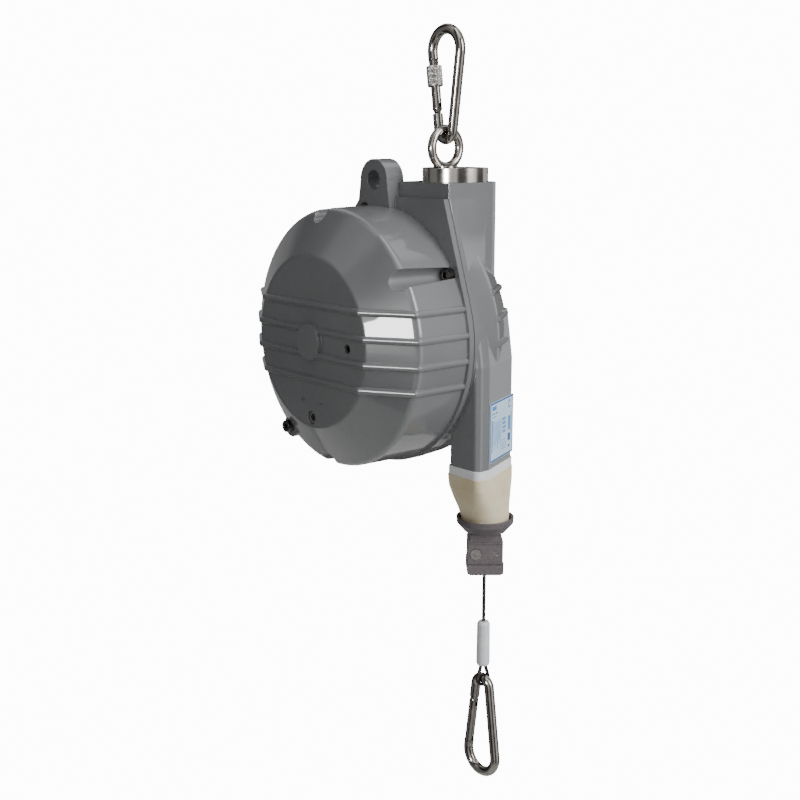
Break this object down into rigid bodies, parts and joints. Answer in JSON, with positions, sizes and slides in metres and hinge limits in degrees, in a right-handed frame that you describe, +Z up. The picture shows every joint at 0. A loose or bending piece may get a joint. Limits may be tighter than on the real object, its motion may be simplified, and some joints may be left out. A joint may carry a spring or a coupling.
{
  "type": "tool balancer",
  "caption": "Spring-driven tool balancer: a domed two-part cast housing that hangs from a screw-lock carabiner by a swivel eye and carries a tool on a wire rope with a spring hook.",
  "frame": {"origin": "centre line of the suspension: on the inner crown of the top carabiner, where the balancer rests on the bar or ring it hangs from", "axes": "+Z up, -Y out of the cover's face (along the drum axis, towards the worker), +X towards the rope side of the housing"},
  "size_m": [0.2855, 0.1966, 0.7915],
  "materials": {
    "casting": "gloss",
    "black_screw": "satin",
    "label": "satin",
    "white_plastic": "satin",
    "cream_plastic": "satin",
    "grey_rubber": "satin",
    "clamp_casting": "satin",
    "wire_rope": "stranded",
    "ferrule_aluminium": "satin",
    "pale_plastic": "satin",
    "nickel": "polished nickel plate",
    "knurled_steel": "matte, knurled",
    "plate_nickel": "satin nickel plate",
    "steel": "turned",
    "drum_aluminium": "cast"
  },
  "bodies": {
    "hanger": {"top_hook_body": "nickel", "top_gate_pin": "nickel"},
    "hanger_gate": {"top_gate": "nickel"},
    "hanger_lock": {"lock_sleeve": "knurled_steel"},
    "eye": {"eye_nut": "nickel", "swivel_stud": "steel", "swivel_nut": "steel", "thrust_bearing": "steel"},
    "housing": {"rear_housing": "casting", "front_cover": "casting", "cover_screws": "black_screw", "tower_screw": "black_screw", "label_plate": "label", "guide_collar": "white_plastic", "rope_guide": "cream_plastic", "swivel_plate": "plate_nickel", "drum_shaft": "steel"},
    "drum": {"rope_drum": "drum_aluminium", "spring_case": "steel", "drum_bearing_front": "steel", "drum_bearing_rear": "steel", "wound_rope": "wire_rope", "power_spring": "steel"},
    "arbor": {"spring_arbor": "steel"},
    "pinion": {"adjusting_pinion": "steel"},
    "rope_end": {"rope": "wire_rope", "stop_dish": "grey_rubber", "clamp_front": "clamp_casting", "clamp_rear": "clamp_casting", "clamp_screws": "black_screw", "ferrule": "ferrule_aluminium", "ferrule_sleeve": "pale_plastic", "rope_loop": "wire_rope"},
    "load_hook": {"bottom_hook_body": "nickel", "bottom_gate_pin": "nickel"},
    "load_gate": {"bottom_gate": "nickel"}
  },
  "joints": [
    {"name": "hanger_gate_swing", "type": "hinge", "parent": "hanger", "child": "hanger_gate", "pos_m": [-0.01303, 0, -0.0723], "axis": [0, 1, 0], "range_deg": [0, 25], "stiffness_Nm_per_rad": 0.05, "springref_deg": -17.19},
    {"name": "hanger_lock_slide", "type": "slide", "parent": "hanger_gate", "child": "hanger_lock", "axis": [-0.1329, 0, 0.9911], "range_m": [0, 0.01]},
    {"name": "eye_swing", "type": "hinge", "parent": "hanger", "child": "eye", "pos_m": [0, 0, -0.10295], "axis": [1, 0, 0], "range_deg": [-30, 30]},
    {"name": "housing_swivel", "type": "hinge", "parent": "eye", "child": "housing", "pos_m": [0, 0, -0.14], "axis": [0, 0, 1], "continuous": true},
    {"name": "drum_spin", "type": "hinge", "parent": "housing", "child": "drum", "pos_m": [-0.053, -0.036, -0.3035], "axis": [0, 1, 0], "range_deg": [0, 971], "stiffness_Nm_per_rad": 0.3, "springref_deg": -687.55},
    {"name": "rope_travel", "type": "slide", "parent": "housing", "child": "rope_end", "axis": [0, 0, -1], "range_m": [0, 2], "deforming": ["rope"]},
    {"name": "arbor_turn", "type": "hinge", "parent": "housing", "child": "arbor", "pos_m": [-0.053, -0.036, -0.3035], "axis": [0, 1, 0], "range_deg": [-360, 360]},
    {"name": "pinion_turn", "type": "hinge", "parent": "housing", "child": "pinion", "pos_m": [-0.053, -0.036, -0.3825], "axis": [0, 1, 0], "range_deg": [-1828, 1828]},
    {"name": "load_hook_swing", "type": "hinge", "parent": "rope_end", "child": "load_hook", "pos_m": [0.065, 0, -0.66755], "axis": [1, 0, 0], "range_deg": [-30, 30]},
    {"name": "load_gate_swing", "type": "hinge", "parent": "load_hook", "child": "load_gate", "pos_m": [0.05197, 0, -0.6982], "axis": [0, 1, 0], "range_deg": [-25, 0], "stiffness_Nm_per_rad": 0.05, "springref_deg": 17.19}
  ],
  "couplings": [
    {"joint": "rope_travel", "follows": "drum_spin", "m_per_rad": 0.118},
    {"joint": "pinion_turn", "follows": "arbor_turn", "ratio": -5.0769}
  ]
}
